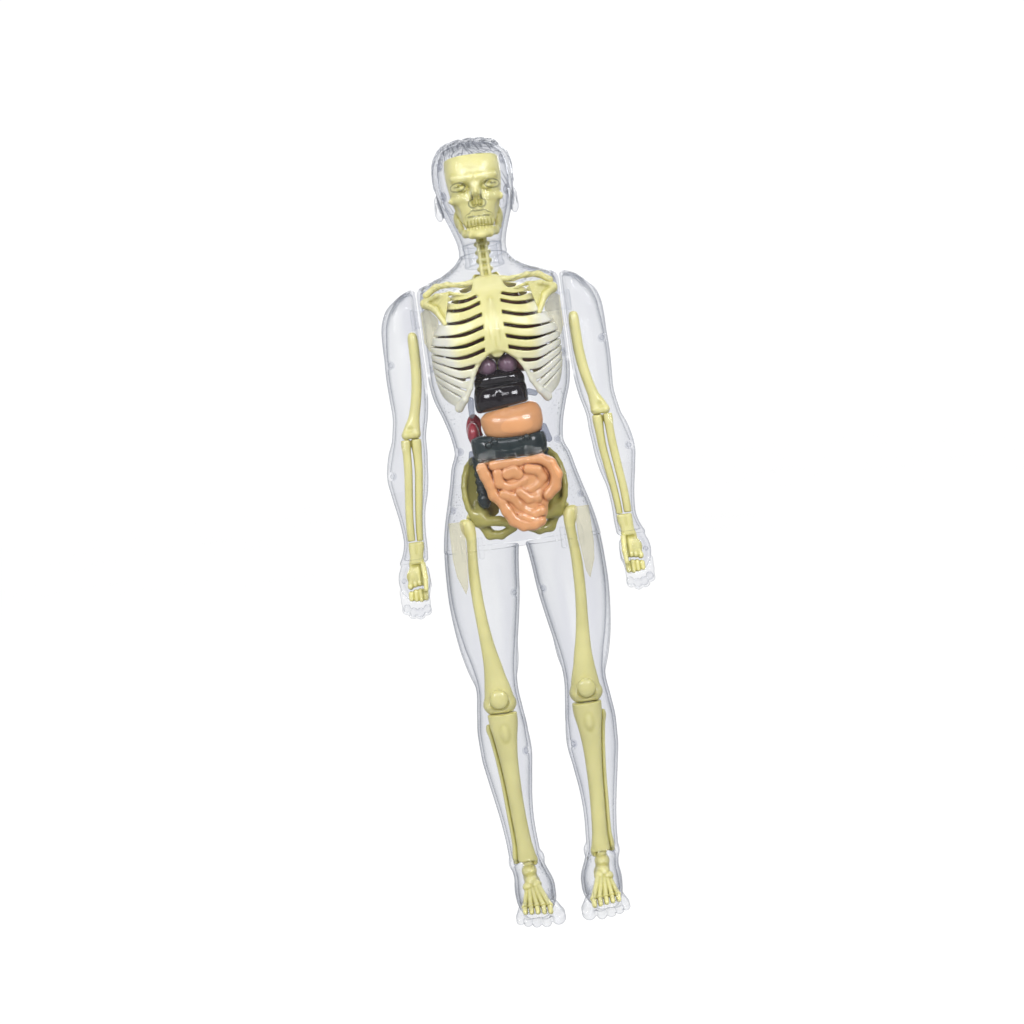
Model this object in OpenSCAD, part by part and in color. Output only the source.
// Standing transparent anatomy figure, 350 mm tall, that opens to show its skeleton and organs.
// It faces -Y, its own left side is on +X, and its soles rest on z = 0.
// Clear front and back shells close over the bones and organs. The head turns on a neck collar,
// both arms swing on shoulder pins, and the torso's front cover pulls straight off forwards.
// Every sub-part is drawn at 350 mm with the shells' seam on y = 0. node_at_size() then moves the
// seam back to seam_y and brings the whole figure to figure_h.

/* [Figure] */
// Height of the standing figure
figure_h = 350; // [280:10:420]

/* [Shells] */
// Wall thickness of the clear shells
wall = 1.2; // [1.0:0.1:1.6]
// Steps round half a torso or head shell
trunk_steps = 16; // [12:2:20]
// Steps round half a limb shell
limb_steps = 10; // [8:2:14]
// Gap all along the seam of the removable front cover
cover_gap = 0.1; // [0.05:0.05:0.2]

/* [Joints] */
// Height of the shoulder pins' axis
shoulder_z = 273; // [271:0.5:275]
// Radius of a shoulder pin
shoulder_pin_r = 4; // [3:0.5:4.5]
// Radial running clearance of pins and collar
running_fit = 0.08; // [0.04:0.01:0.1]
// Outer radius of the neck collar
collar_r = 8.6; // [8.2:0.1:8.8]
// Radius of the small pins that line the shells up
peg_r = 1; // [0.8:0.1:1.2]

/* [Hidden] */

design_h = 350;
$fn = 48;
clear_colour = [0.86, 0.9, 0.94, 0.35];
bone_colour = [0.87, 0.84, 0.62];

neck_z = 298;        // seam between the torso shells and the head shells
hip_z = 166;         // seam between the torso shells and the leg shells
shoulder_x = 32.5;   // flat side of the torso beside each shoulder
arm_x = 33;          // inner face of each arm
land_h = 3;          // height of the land in the head's neck that runs on the collar
peg_len = 4;         // length of a peg, half of it on each side of the seam
boss_r = peg_r + 0.9;
bush_x = 25.4;       // inner end of a shoulder bush
bush_w = 5;          // length of a shoulder bush
bush_r = shoulder_pin_r + 2;
foot_w = 2.4;        // thickness of the bush's foot
foot_reach = 10.4;   // how far the foot reaches back towards the back shell
hip_plug_x = 23;     // middle of a hip plug
plug_w = 10.4;       // side of a hip plug

// A station is one cross-section of a shell or a soft organ:
// [z, middle x, half width, depth to the front, depth to the back, squareness].
torso_stations = [
    [hip_z, 0, 36, 18, 19.2, 2.5],
    [173, 0, 35, 18.2, 19.6, 2.4],
    [180, 0, 33.5, 18.2, 19.6, 2.4],
    [190, 0, 30.8, 17.8, 18.6, 2.4],
    [197, 0, 29, 17.2, 17.2, 2.35],
    [204, 0, 27.4, 16.6, 15.8, 2.3],
    [211, 0, 25, 16, 14.8, 2.3],
    [218, 0, 25.8, 16, 15, 2.3],
    [227, 0, 28.2, 17, 16, 2.35],
    [236, 0, 31.2, 18.4, 17.2, 2.4],
    [246, 0, 32.4, 19.8, 18.4, 2.5],
    [256, 0, shoulder_x, 20.6, 19.2, 2.6],
    [266, 0, shoulder_x, 20, 19.6, 2.7],
    [275, 0, shoulder_x, 18, 19, 2.7],
    [282, 0, shoulder_x, 14.8, 17, 2.6],
    [286, 0, 31.4, 12, 14.5, 2.4],
    [288.5, 0, 26, 11, 13, 2.2],
    [291, 0, 19.6, 10.6, 12, 2.1],
    [294, 0, 14.6, 10.4, 11.4, 2],
    [neck_z, 0, 11, 10.6, 10.8, 2]
];
head_stations = [
    [neck_z, 0, 11, 10.6, 10.8, 2],
    [301, 0, 10.8, 10.8, 10.8, 2],
    [302.5, 0, 10.9, 16, 11, 2],
    [306, 0, 11.6, 18.8, 11.4, 2.1],
    [311, 0, 13.2, 19.4, 13, 2.1],
    [318, 0, 15.6, 19.4, 16.5, 2.2],
    [325, 0, 17.2, 19.2, 19, 2.3],
    [332, 0, 18, 19, 20.4, 2.35],
    [339, 0, 17.6, 18.2, 19.8, 2.3],
    [344, 0, 15.6, 15.8, 17.6, 2.2],
    [347.6, 0, 12, 12.2, 13.6, 2.1],
    [349.4, 0, 7.5, 7.6, 8.8, 2],
    [design_h, 0, 3, 3, 3.6, 2]
];
arm_stations = [
    [137.5, 51, 3.4, 3.4, 3, 2],
    [139.5, 51.4, 5.8, 6, 4.6, 2.1],
    [144, 51.6, 6.8, 7.8, 5.8, 2.2],
    [153, 51.5, 7.3, 8.6, 6.6, 2.3],
    [160, 50.4, 7, 8.2, 6.6, 2.2],
    [167, 49.2, 6.2, 6.8, 6.2, 2.1],
    [174, 48.2, 5.2, 5.9, 5.9, 2],
    [184, 48.2, 6, 6.3, 6.3, 2],
    [195, 47.9, 8.1, 7.4, 7.4, 2],
    [204, 47.5, 9.3, 8.4, 8.2, 2],
    [213, 45.9, 8.7, 8.6, 8.4, 2],
    [221, 44.5, 7.8, 8, 8.2, 2],
    [230, 42.7, 8.1, 8.4, 9, 2.1],
    [239, 42.2, 8.8, 9.6, 10, 2.2],
    [248, 42.1, 9.1, 10.5, 10.8, 2.4],
    [257, 41.9, 8.9, 11.3, 11.6, 2.6],
    [265, 41.5, 8.5, 12, 12.4, 2.7],
    [273, 40.8, 7.8, 12, 12.6, 2.7],
    [279, 39.2, 6.2, 11.4, 12, 2.6],
    [284, 36.5, 3.5, 9, 9.8, 2.4],
    [286, 34.6, 1.6, 6, 6.8, 2]
];
leg_stations = [
    [0, 14.5, 10.2, 36.2, 13.2, 2.4],
    [1.5, 14.4, 10.9, 37, 14.4, 2.4],
    [4, 14.4, 10.8, 36.6, 15, 2.4],
    [7, 14.6, 10.2, 32, 14.8, 2.3],
    [10, 15.2, 9.4, 25, 14, 2.2],
    [13, 16, 8.5, 17, 12.8, 2.1],
    [17, 17, 7.8, 10.4, 11, 2],
    [21, 17.8, 7.4, 7.2, 9.8, 2],
    [29, 18.4, 7.3, 5.8, 9.2, 2],
    [40, 19.2, 7.7, 6, 10, 2],
    [50, 19.7, 8.8, 6.8, 12, 2],
    [60, 19.9, 10.3, 7.8, 14, 2],
    [71, 20.1, 11.6, 8.8, 15, 2],
    [81, 20.4, 11.6, 9.8, 13.6, 2.1],
    [91, 20.4, 10.6, 11.4, 11.2, 2.2],
    [101, 20.3, 9.6, 12.2, 11, 2.2],
    [112, 20.6, 10.8, 12.8, 12.4, 2.1],
    [122, 20.9, 12.9, 14.2, 13.8, 2.1],
    [133, 20.8, 14.9, 15.6, 15.4, 2.1],
    [144, 20.4, 16.3, 16.8, 17, 2.2],
    [155, 19.8, 16.8, 17.6, 18.4, 2.3],
    [161, 19.3, 17, 17.8, 19, 2.4],
    [hip_z, 18.7, 17.2, 18, 19.2, 2.4]
];

// The seams and joint axes lie this far behind the middle of the footprint
seam_y = (leg_stations[1][3] - head_stations[7][4]) / 2;

// Places of the pegs along each seam: [x, z], just inside the outer or the inner edge
function outer_peg(st, z) =
    [lookup(z, [for (s = st) [s[0], s[1] + s[2]]]) - wall - boss_r + 0.7, z];
function inner_peg(st, z) =
    [lookup(z, [for (s = st) [s[0], s[1] - s[2]]]) + wall + boss_r - 0.7, z];
torso_peg_places = [for (z = [185, 211, 250, 283.6]) outer_peg(torso_stations, z)];
head_peg_places = [for (z = [326, 340]) outer_peg(head_stations, z)];
arm_peg_places = [for (z = [156, 204, 254]) outer_peg(arm_stations, z)];
leg_peg_places = [outer_peg(leg_stations, 20), inner_peg(leg_stations, 71),
                  inner_peg(leg_stations, 144)];

// ---------------------------------------------------------------- shapes

function power(v, p) = sign(v) * pow(abs(v), p);
function mean_r(s) = (2 * s[2] + s[3] + s[4]) / 4;

// Slope angle of the skin at station i, 0 where the wall stands upright
function slope(st, i) =
    let (a = max(i - 1, 0), b = min(i + 1, len(st) - 1))
    atan2(mean_r(st[b]) - mean_r(st[a]), st[b][0] - st[a][0]);

// Point at angle a on the front half (side -1) or back half (side 1) of a station, moved in by t
function rim(s, side, a, t, z) = [
    s[1] + max(s[2] - t, 0.2) * power(cos(a), 2 / s[5]),
    side * max((side < 0 ? s[3] : s[4]) - t, 0.2) * power(sin(a), 2 / s[5]),
    z
];

// Half of a clear casing: an outer and an inner skin through the same stations, joined along
// the seam and at both ends. A closed end gets a flat cap of the same wall, out to the seam.
module half_shell(st, side, steps, closed_low = true, closed_high = true) {
    last = len(st) - 1;
    rows = [for (i = [0:last]) i];
    inner_z = [for (i = rows)
        let (open_end = (i == 0 && !closed_low) || (i == last && !closed_high))
        open_end ? st[i][0] :
        min(max(st[i][0] + wall * sin(slope(st, i)), st[0][0] + (closed_low ? wall : 0)),
            st[last][0] - (closed_high ? wall : 0))];
    inner_t = [for (i = rows)
        let (open_end = (i == 0 && !closed_low) || (i == last && !closed_high))
        open_end ? wall : wall * max(cos(slope(st, i)), 0.3)];
    function row(i, t, z) = [for (k = [0:steps]) rim(st[i], side, 180 * k / steps, t, z)];
    function seam_row(r) = [for (p = r) [r[0][0] + 0.05 * (r[steps][0] - r[0][0])
        + 0.9 * (p[0] - r[0][0]), 0, p[2]]];
    outer_rows = [for (i = rows) row(i, 0, st[i][0])];
    inner_rows = [for (i = rows) row(i, inner_t[i], inner_z[i])];
    thick_sheet(
        concat(closed_low ? [seam_row(outer_rows[0])] : [], outer_rows,
               closed_high ? [seam_row(outer_rows[last])] : []),
        concat(closed_low ? [seam_row(inner_rows[0])] : [], inner_rows,
               closed_high ? [seam_row(inner_rows[last])] : []),
        side < 0);
}

// Closed solid between two grids of points, with the same rows and columns
module thick_sheet(outer_rows, inner_rows, flip = false) {
    rows = len(outer_rows);
    cols = len(outer_rows[0]);
    inner_0 = rows * cols;
    points = concat([for (r = outer_rows) each r], [for (r = inner_rows) each r]);
    function at(i, k) = i * cols + k;
    // Two triangles of one cell, with the diagonal mirrored past the middle column and row
    function cell(i, k) = (2 * k < cols - 1) == (2 * i < rows - 1) ?
        [[at(i, k), at(i + 1, k), at(i + 1, k + 1)], [at(i, k), at(i + 1, k + 1), at(i, k + 1)]] :
        [[at(i, k), at(i + 1, k), at(i, k + 1)], [at(i + 1, k), at(i + 1, k + 1), at(i, k + 1)]];
    faces = concat(
        [for (i = [0:rows - 2], k = [0:cols - 2]) each cell(i, k)],
        [for (i = [0:rows - 2], k = [0:cols - 2])
            each [for (f = cell(i, k)) [inner_0 + f[2], inner_0 + f[1], inner_0 + f[0]]]],
        [for (i = [0:rows - 2])
            each [[at(i, 0), inner_0 + at(i, 0), inner_0 + at(i + 1, 0)],
                  [at(i, 0), inner_0 + at(i + 1, 0), at(i + 1, 0)]]],
        [for (i = [0:rows - 2])
            each [[at(i, cols - 1), inner_0 + at(i + 1, cols - 1), inner_0 + at(i, cols - 1)],
                  [at(i, cols - 1), at(i + 1, cols - 1), inner_0 + at(i + 1, cols - 1)]]],
        [for (k = [0:cols - 2])
            each [[at(0, k), inner_0 + at(0, k + 1), inner_0 + at(0, k)],
                  [at(0, k), at(0, k + 1), inner_0 + at(0, k + 1)]]],
        [for (k = [0:cols - 2])
            each [[at(rows - 1, k), inner_0 + at(rows - 1, k), inner_0 + at(rows - 1, k + 1)],
                  [at(rows - 1, k), inner_0 + at(rows - 1, k + 1), at(rows - 1, k + 1)]]]);
    polyhedron(points, flip ? [for (f = faces) [f[2], f[1], f[0]]] : faces);
}

// Solid organ or bone body lofted through rings [z, x, y, half width, half depth]
module soft_body(rings, sides = 12) {
    last = len(rings) - 1;
    points = concat(
        [[rings[0][1], rings[0][2], rings[0][0]]],
        [for (r = rings, k = [0:sides - 1])
            let (a = 360 * k / sides)
            [r[1] + r[3] * cos(a), r[2] + r[4] * sin(a), r[0]]],
        [[rings[last][1], rings[last][2], rings[last][0]]]);
    top = len(points) - 1;
    function at(i, k) = 1 + i * sides + k % sides;
    polyhedron(points, concat(
        [for (k = [0:sides - 1]) [0, at(0, k), at(0, k + 1)]],
        [for (i = [0:last - 1], k = [0:sides - 1])
            each [[at(i, k), at(i + 1, k), at(i + 1, k + 1)],
                  [at(i, k), at(i + 1, k + 1), at(i, k + 1)]]],
        [for (k = [0:sides - 1]) [top, at(last, k + 1), at(last, k)]]));
}

// Long bone from p to q: shaft radius r, end radii ra and rb
module long_bone(p, q, r, ra, rb) {
    d = q - p;
    len_d = norm(d);
    translate(p)
        rotate([0, acos(d[2] / len_d), atan2(d[1], d[0])])
            rotate_extrude($fn = 32)
                polygon([
                    [0, 0], [0.6 * ra, 0], [ra, 0.05 * len_d], [0.9 * ra, 0.1 * len_d],
                    [r, 0.24 * len_d], [r, 0.76 * len_d],
                    [0.9 * rb, 0.9 * len_d], [rb, 0.95 * len_d], [0.6 * rb, len_d], [0, len_d]
                ]);
}

// Cylinder along X from x0 to x1 at height z on the figure's middle plane
module x_bar(x0, x1, r, z) {
    translate([x0, 0, z])
        rotate([0, 90, 0])
            cylinder(r = r, h = x1 - x0);
}

// Cylinder along Y from y0 to y1
module y_bar(x, z, y0, y1, r) {
    translate([x, y1, z])
        rotate([90, 0, 0])
            cylinder(r = r, h = y1 - y0);
}

module both_sides() {
    children();
    mirror([1, 0, 0]) children();
}

// Bosses that hold the pegs of one half, from the seam inwards
module bosses(places, side, gap = 0) {
    for (p = places)
        y_bar(p[0], p[1], side < 0 ? -peg_len / 2 - 1 : gap, side < 0 ? -gap : peg_len / 2 + 1,
              boss_r);
}

module boss_holes(places, side, r) {
    for (p = places)
        y_bar(p[0], p[1], side < 0 ? -peg_len / 2 : -1, side < 0 ? 1 : peg_len / 2, r);
}

module pegs(places, shorter = 0) {
    for (p = places)
        y_bar(p[0], p[1], shorter - peg_len / 2, peg_len / 2, peg_r);
}

// Brings a sub-part to size, with the footprint's middle on the origin
module node_at_size() {
    scale(figure_h / design_h) translate([0, seam_y, 0]) children();
}

// ---------------------------------------------------------------- clear shells

// Front or back half of the torso, open at the neck, floored at the hips
module torso_half(side) {
    hole_r = shoulder_pin_r + 0.4;
    difference() {
        union() {
            half_shell(torso_stations, side, trunk_steps, true, false);
            both_sides() bosses(torso_peg_places, side);
        }
        x_bar(-shoulder_x - 2, shoulder_x + 2, hole_r, shoulder_z);
        both_sides() boss_holes(torso_peg_places, side, side < 0 ? peg_r + running_fit : peg_r);
        both_sides()
            translate([hip_plug_x - plug_w / 2, -plug_w / 2, hip_z - 1])
                cube([plug_w, plug_w, wall + 2]);
        if (side < 0)
            translate([-50, -cover_gap, hip_z - 10]) cube([100, 5, design_h]);
        if (side < 0)
            translate([-50, -50, hip_z - 1]) cube([100, 51, 1 + cover_gap]);
        if (side < 0)
            translate([-50, -50, neck_z - cover_gap]) cube([100, 51, 5]);
    }
}

module torso_front_cover() {
    color(clear_colour) node_at_size() torso_half(-1);
}

module torso_back_shell() {
    color(clear_colour) node_at_size() torso_half(1);
}

module torso_pegs() {
    color("ghostwhite") node_at_size() both_sides() pegs(torso_peg_places, 0.3);
}

// Ring inside the neck of the head that runs on the collar, one half of it
module neck_land(side) {
    bore = collar_r + running_fit;
    intersection() {
        translate([0, 0, neck_z + 0.15])
            difference() {
                cylinder(r = 10.2, h = land_h);
                translate([0, 0, -1]) cylinder(r = bore, h = land_h + 2);
            }
        translate([-20, side < 0 ? -20 : 0, neck_z - 1]) cube([40, 20, 10]);
    }
}

module ear() {
    translate([16.6, 2.6, 320.5])
        rotate([0, 12, 0])
            scale([0.55, 0.62, 1])
                sphere(r = 6, $fn = 32);
}

module nose() {
    hull() {
        translate([0, -18.4, 327]) sphere(r = 1.2, $fn = 12);
        translate([0, -21.4, 317.5]) sphere(r = 1.4, $fn = 12);
        translate([-2.6, -18.6, 316.5]) sphere(r = 1.1, $fn = 12);
        translate([2.6, -18.6, 316.5]) sphere(r = 1.1, $fn = 12);
    }
}

module head_half(side) {
    difference() {
        union() {
            intersection() {
                half_shell(head_stations, side, trunk_steps, false, true);
                translate([-30, -30, neck_z + 0.15]) cube([60, 60, 60]);
            }
            neck_land(side);
            if (side < 0) nose();
            if (side > 0)
                both_sides()
                    intersection() {
                        ear();
                        translate([15.6, 0, 300]) cube([10, 20, 40]);
                    }
            both_sides() bosses(head_peg_places, side);
        }
        both_sides() boss_holes(head_peg_places, side, peg_r);
    }
}

module head_front_shell() {
    color(clear_colour) node_at_size() head_half(-1);
}

module head_back_shell() {
    color(clear_colour) node_at_size() head_half(1);
}

module head_pegs() {
    color("ghostwhite") node_at_size() both_sides() pegs(head_peg_places);
}

// Half of the figure's left arm
module arm_half(side) {
    difference() {
        union() {
            half_shell(arm_stations, side, limb_steps);
            bosses(arm_peg_places, side);
        }
        x_bar(arm_x - 2, arm_x + 2.5, shoulder_pin_r, shoulder_z);
        boss_holes(arm_peg_places, side, peg_r);
    }
}

module arm_shell(side) {
    color(clear_colour) node_at_size() arm_half(side);
}

module arm_pegs() {
    color("ghostwhite") node_at_size() pegs(arm_peg_places);
}

// Half of the figure's left leg, with the slot for the hip plug in its top
module leg_half(side) {
    difference() {
        union() {
            half_shell(leg_stations, side, limb_steps);
            bosses(leg_peg_places, side);
        }
        boss_holes(leg_peg_places, side, peg_r);
        translate([hip_plug_x - plug_w / 2, -plug_w / 2, hip_z - wall - 1])
            cube([plug_w, plug_w, wall + 2]);
    }
}

module leg_shell(side) {
    color(clear_colour) node_at_size() leg_half(side);
}

module leg_pegs() {
    color("ghostwhite") node_at_size() pegs(leg_peg_places);
}

// ---------------------------------------------------------------- joint hardware

// Collar fixed in the torso's neck, with a rim at each end that traps the head's land
module neck_collar() {
    low = neck_z - 5;
    high = neck_z + 0.3 + land_h;
    color("ghostwhite")
        node_at_size()
            difference() {
                union() {
                    translate([0, 0, low]) cylinder(r = collar_r, h = high + 1.4 - low);
                    translate([0, 0, high]) cylinder(r = collar_r + 0.6, h = 1.4);
                    translate([0, 0, low]) cylinder(r = collar_r + 0.5, h = 1.5);
                }
                translate([0, 0, low - 1]) cylinder(r = collar_r - 1.8, h = high - low + 5);
            }
}

// Pin fixed in the left arm, with a head on each end
module shoulder_pin() {
    color("ghostwhite")
        node_at_size()
            union() {
                x_bar(bush_x - 1.8, arm_x + 3.4, shoulder_pin_r, shoulder_z);
                x_bar(bush_x - 1.8, bush_x - 0.2, shoulder_pin_r + 1, shoulder_z);
                x_bar(arm_x + wall + 0.6, arm_x + 3.4, shoulder_pin_r + 0.8, shoulder_z);
            }
}

// Bush in the left shoulder that the pin turns in, with a foot on the back shell
module shoulder_bush() {
    color("ghostwhite")
        node_at_size()
            difference() {
                union() {
                    x_bar(bush_x, bush_x + bush_w, bush_r, shoulder_z);
                    translate([bush_x, 0, shoulder_z - 3]) cube([foot_w, foot_reach, 6]);
                }
                x_bar(bush_x - 1, bush_x + bush_w + 1, shoulder_pin_r + running_fit, shoulder_z);
            }
}

// Key between the left leg and the torso's floor, round the neck of the femur
module hip_plug() {
    color("ghostwhite")
        node_at_size()
            difference() {
                translate([hip_plug_x - plug_w / 2, -plug_w / 2, hip_z - 5])
                    cube([plug_w, plug_w, 10]);
                translate([hip_plug_x - 0.1, 0, hip_z - 6]) cylinder(r = 3, h = 12);
            }
}

// ---------------------------------------------------------------- bones

// Face and brain case in one, sawn off flat at the top so that the brain drops in
module skull() {
    rings = [
        [309.5, 0, -8, 5.6, 6.4], [313, 0, -8, 7.6, 7.8], [318, 0, -7, 9.6, 9.2],
        [325, 0, -5, 10.2, 11.8], [333, 0, -4, 10.5, 12.8], [341.5, 0, -3.4, 10.4, 12]
    ];
    cavity = [
        [324.5, 0, 0.6, 5, 4.4], [328, 0, -1, 8, 8], [334, 0, -1.6, 8.6, 8.8],
        [342, 0, -1.6, 8.6, 8.8]
    ];
    color(bone_colour)
        node_at_size()
            difference() {
                soft_body(rings, 20);
                soft_body(cavity, 16);
            }
}

module brain() {
    rings = [
        [325, 0, 0.6, 4, 3.4], [328.5, 0, -1, 7.2, 7.2], [334, 0, -1.6, 7.8, 8],
        [338.5, 0, -1.6, 7.4, 7.6], [341.2, 0, -1.6, 4.4, 4.6]
    ];
    color("rosybrown") node_at_size() soft_body(rings, 14);
}

module jaw() {
    rings = [
        [304.2, 0, -12.8, 2.4, 2.2], [305.8, 0, -12, 4.6, 3.8], [308.9, 0, -9.8, 7, 6.6]
    ];
    color(bone_colour) node_at_size() soft_body(rings, 16);
}

// Column of vertebrae from z0 up to z1 at depth y, with a disc between each two
module vertebrae(z0, z1, y, r, count) {
    step = (z1 - z0) / count;
    translate([0, y, z0])
        rotate_extrude($fn = 32)
            polygon(concat(
                [[0, 0]],
                [for (i = [0:count - 1])
                    each [[r, (i + 0.06) * step], [r * 0.84, (i + 0.35) * step],
                          [r, (i + 0.7) * step], [r * 0.78, (i + 0.85) * step]]],
                [[0, count * step]]));
}

module cervical_spine() {
    color(bone_colour) node_at_size() vertebrae(286.4, 308.6, 0.5, 3.4, 5);
}

module spine() {
    color(bone_colour)
        node_at_size()
            union() {
                vertebrae(187, 286, 8.6, 4.2, 17);
                for (i = [0:16])
                    translate([-0.8, 11, 189 + i * 97 / 17]) cube([1.6, 2.2, 2.2]);
            }
}

// Front of the rib cage with the breast bone: one plate with slots between the ribs
module rib_cage() {
    ribs = [
        [233, 0, 22, 11.5, 10, 2.3], [240, 0, 25.6, 14, 10, 2.3], [248, 0, 27.6, 16, 10, 2.3],
        [256, 0, 28, 17, 10, 2.3], [262, 0, 26, 16.8, 10, 2.3], [268, 0, 22.6, 16, 10, 2.2],
        [274, 0, 20.4, 14.4, 10, 2.2], [280, 0, 16.8, 12.2, 10, 2.1], [285.4, 0, 11, 9.6, 10, 2]
    ];
    color(bone_colour)
        node_at_size()
            difference() {
                half_shell(ribs, -1, trunk_steps, false, false);
                both_sides()
                    for (i = [0:6])
                        translate([4.8, -30, 248.8 + i * 4.7])
                            rotate([0, 4 + i * 0.4, 0]) cube([14 - i * 0.3, 24, 1.5]);
                translate([0, 0, 200])
                    rotate([90, 0, 0])
                        linear_extrude(30)
                            polygon([[0, 50.5], [12.8, 45], [16.4, 32], [-16.4, 32], [-12.8, 45]]);
            }
}

module clavicle() {
    color(bone_colour)
        node_at_size()
            long_bone([4.6, -7.9, 287.6], [22.6, -4, 284.6], 0.9, 1.4, 1.4);
}

// Shoulder blade behind the ribs, with the short arm that reaches the shoulder
module scapula() {
    color(bone_colour)
        node_at_size()
            union() {
                translate([0, 12.4, 0])
                    rotate([90, 0, 0])
                        linear_extrude(1.6)
                            polygon([[9, 282], [19, 283], [20.6, 262], [16.4, 256], [11, 268]]);
                translate([0, 12.4, 0])
                    rotate([90, 0, 0])
                        linear_extrude(3.2)
                            polygon([[10, 279.5], [20, 281.4], [20, 283], [10, 281.5]]);
            }
}

module pelvis() {
    wing = [[2, 178], [10, 172.6], [15, 175.4], [19, 183], [23.6, 193], [22.8, 203], [17, 209],
            [10, 205], [4.6, 196]];
    color(bone_colour)
        node_at_size()
            difference() {
                union() {
                    both_sides()
                        translate([0, 8.2, 0])
                            rotate([90, 0, 0])
                                linear_extrude(6) polygon(wing);
                    translate([-6, 3.4, 176]) cube([12, 6, 10]);
                    translate([-4.6, 5, 184]) cube([9.2, 3.4, 14]);
                }
                translate([0, 8.6, 186.8]) cylinder(r = 4.6, h = 40);
            }
}

module humerus() {
    color(bone_colour) node_at_size() long_bone([42.9, 0, 220.6], [38.6, 0, 266], 1.9, 4, 3.2);
}

module forearm_bones() {
    color(bone_colour)
        node_at_size() {
            long_bone([49.9, 0, 175.6], [46.2, 0, 216.6], 1.5, 1.9, 2.3);
            long_bone([46.3, 0, 175.6], [41.2, 0, 216.6], 1.4, 1.5, 2.5);
        }
}

// Wrist block and the flat bundle of palm and finger bones
module hand_bones() {
    color(bone_colour)
        node_at_size()
            union() {
                soft_body([[162.4, 50, -0.4, 3.8, 2], [166, 49.2, -0.2, 3.6, 2.2],
                           [172, 48, 0, 2.8, 2.2], [174.6, 47.9, 0, 2.6, 2]], 12);
                for (i = [0:3])
                    long_bone([47.2 + i * 2.2, -0.6, 144], [47.8 + i * 1.5, -0.6, 163.2],
                              0.95, 1.25, 1.2);
            }
}

module femur() {
    color(bone_colour)
        node_at_size()
            union() {
                long_bone([20, 0, 90], [23, 0, 172], 2.3, 5.6, 2.3);
                long_bone([22.9, 0, 169], [21.6, 0, 180.4], 2.2, 2.3, 2.9);
            }
}

module patella() {
    color(bone_colour)
        node_at_size()
            translate([19.8, -7, 97])
                rotate([90, 0, 0])
                    rotate_extrude($fn = 32)
                        polygon([[0, 0], [2.6, 0], [3.6, 1], [2.8, 2.2], [0, 2.8]]);
}

module shin_bones() {
    color(bone_colour)
        node_at_size() {
            long_bone([17.4, 0, 19.4], [19.4, 0, 88.6], 2.2, 2.8, 6);
            long_bone([20.6, 3.4, 24.6], [26.4, 3, 80], 0.9, 1.3, 1.5);
        }
}

// Heel, ankle and the fan of toe bones
module foot_bones() {
    color(bone_colour)
        node_at_size()
            union() {
                soft_body([[3, 16, 7, 3, 3.6], [6, 16.2, 5.6, 3.6, 5], [11, 16.6, 1.6, 3.4, 5],
                           [15, 17, 0, 3, 3.6], [18.8, 17.4, 0, 2.6, 2.8]], 12);
                for (i = [0:4])
                    long_bone([9.4 + i * 2.7, -27 + i * 1.4, 4], [15 + i * 0.7, -1.5, 10.4],
                              0.95, 1.2, 1.3);
            }
}

// ---------------------------------------------------------------- organs

// One lung, side 1 on the figure's left and -1 on its right
module lung(side) {
    color("rosybrown")
        node_at_size()
            soft_body([[246, side * 14.4, -1.4, 6, 8], [252, side * 14.6, -1.4, 7.4, 9.8],
                       [262, side * 14, -1, 7, 9.6], [268, side * 13.4, -0.4, 6.2, 8.4],
                       [275, side * 12, 0.6, 4.8, 6.4], [280.6, side * 10.6, 1, 2.2, 3]], 14);
}

module heart() {
    color("indianred")
        node_at_size()
            soft_body([[251.6, 2.4, -5.6, 1.6, 1.8], [254.4, 1.9, -5.4, 3.1, 3.8],
                       [260, 1, -5, 4, 5.2], [265.4, 0.6, -4.6, 3.6, 4.4], [269, 0.4, -4, 2, 2.4]],
                      14);
}

module liver() {
    color([0.2, 0.16, 0.19])
        node_at_size()
            soft_body([[226.4, -3, -6, 10, 4.6], [230, -1, -6, 12.6, 6.8], [238, 0.4, -5.6, 13, 8],
                       [242, 0.6, -5.2, 12, 7.6], [245.4, 0.4, -5, 9.6, 5.6]], 16);
}

module stomach() {
    color([0.87, 0.63, 0.45])
        node_at_size()
            soft_body([[213.9, 4.4, -7.2, 8, 4], [217.4, 3.8, -7.2, 12.4, 6.6],
                       [222.4, 3.4, -7, 14.2, 6.8], [226, 3.8, -6.8, 12.6, 5]], 16);
}

module kidneys() {
    color("firebrick")
        node_at_size()
            for (s = [-1, 1])
                soft_body([[212, s * 12, 6, 1.8, 1.6], [215, s * 12.2, 6, 3.6, 2.8],
                           [220, s * 12.4, 6, 4, 3], [226, s * 12, 6, 3.4, 2.8],
                           [229, s * 11.4, 6, 1.6, 1.4]], 12);
}

// The cross piece in front, and the rising and falling pieces behind the small intestine
module large_intestine() {
    color([0.2, 0.25, 0.27])
        node_at_size()
            union() {
                soft_body([[206.2, 0.6, -6, 15.4, 6.6], [209.4, 0.8, -6, 16.6, 7.6],
                           [213.2, 1.4, -6, 16.8, 6.8]], 16);
                for (s = [-1, 1])
                    translate([s * 13, -0.4, 186]) cylinder(r = 1.9, h = 22, $fn = 24);
            }
}

module small_intestine() {
    color([0.92, 0.65, 0.47])
        node_at_size()
            soft_body([[172.2, 6, -8.4, 4, 3.6], [175, 5.4, -8.6, 7.8, 4.8],
                       [180, 4.4, -8.8, 10.2, 5.6], [185, 3.6, -8.8, 12.6, 6],
                       [189, 5.2, -8, 15.8, 6], [196, 5.6, -7.8, 16.4, 6],
                       [201, 4.6, -7.6, 17, 6], [205.6, 2.2, -7.4, 16, 5.4]], 16);
}

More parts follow.
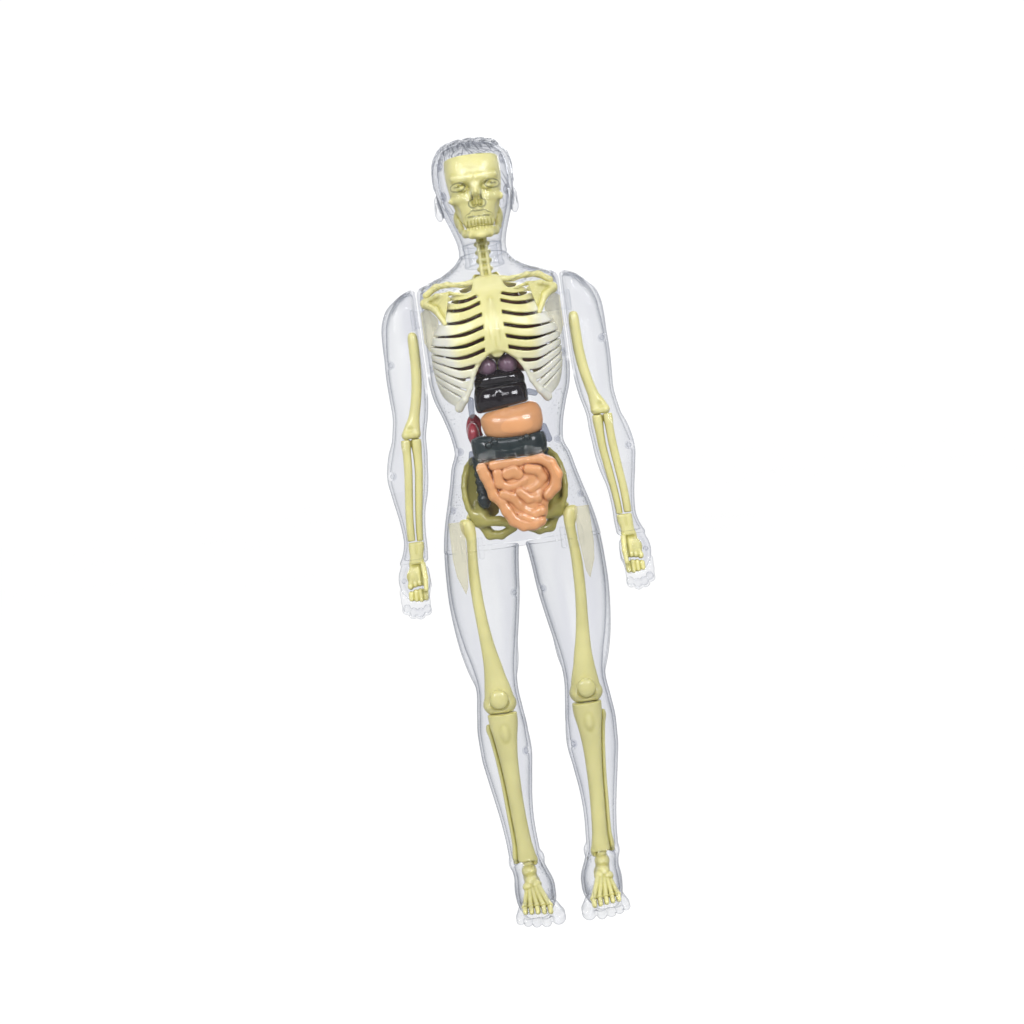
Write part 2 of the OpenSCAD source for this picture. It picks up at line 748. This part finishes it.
// ---------------------------------------------------------------- nodes

torso_front_cover();
torso_back_shell();
torso_pegs();
head_front_shell();
head_back_shell();
head_pegs();
neck_collar();
arm_shell(-1);  // arm_left_front_shell
arm_shell(1);  // arm_left_back_shell
arm_pegs();  // arm_left_pegs
shoulder_pin();  // shoulder_pin_left
mirror([1, 0, 0]) arm_shell(-1);  // arm_right_front_shell
mirror([1, 0, 0]) arm_shell(1);  // arm_right_back_shell
mirror([1, 0, 0]) arm_pegs();  // arm_right_pegs
mirror([1, 0, 0]) shoulder_pin();  // shoulder_pin_right
shoulder_bush();  // shoulder_bush_left
mirror([1, 0, 0]) shoulder_bush();  // shoulder_bush_right
leg_shell(-1);  // leg_left_front_shell
leg_shell(1);  // leg_left_back_shell
leg_pegs();  // leg_left_pegs
hip_plug();  // hip_plug_left
mirror([1, 0, 0]) leg_shell(-1);  // leg_right_front_shell
mirror([1, 0, 0]) leg_shell(1);  // leg_right_back_shell
mirror([1, 0, 0]) leg_pegs();  // leg_right_pegs
mirror([1, 0, 0]) hip_plug();  // hip_plug_right
skull();
jaw();
cervical_spine();
spine();
rib_cage();
clavicle();  // clavicle_left
mirror([1, 0, 0]) clavicle();  // clavicle_right
scapula();  // scapula_left
mirror([1, 0, 0]) scapula();  // scapula_right
pelvis();
humerus();  // humerus_left
forearm_bones();  // forearm_bones_left
hand_bones();  // hand_bones_left
mirror([1, 0, 0]) humerus();  // humerus_right
mirror([1, 0, 0]) forearm_bones();  // forearm_bones_right
mirror([1, 0, 0]) hand_bones();  // hand_bones_right
femur();  // femur_left
patella();  // patella_left
shin_bones();  // shin_bones_left
foot_bones();  // foot_bones_left
mirror([1, 0, 0]) femur();  // femur_right
mirror([1, 0, 0]) patella();  // patella_right
mirror([1, 0, 0]) shin_bones();  // shin_bones_right
mirror([1, 0, 0]) foot_bones();  // foot_bones_right
brain();
lung(1);  // lung_left
lung(-1);  // lung_right
heart();
liver();
stomach();
kidneys();
large_intestine();
small_intestine();
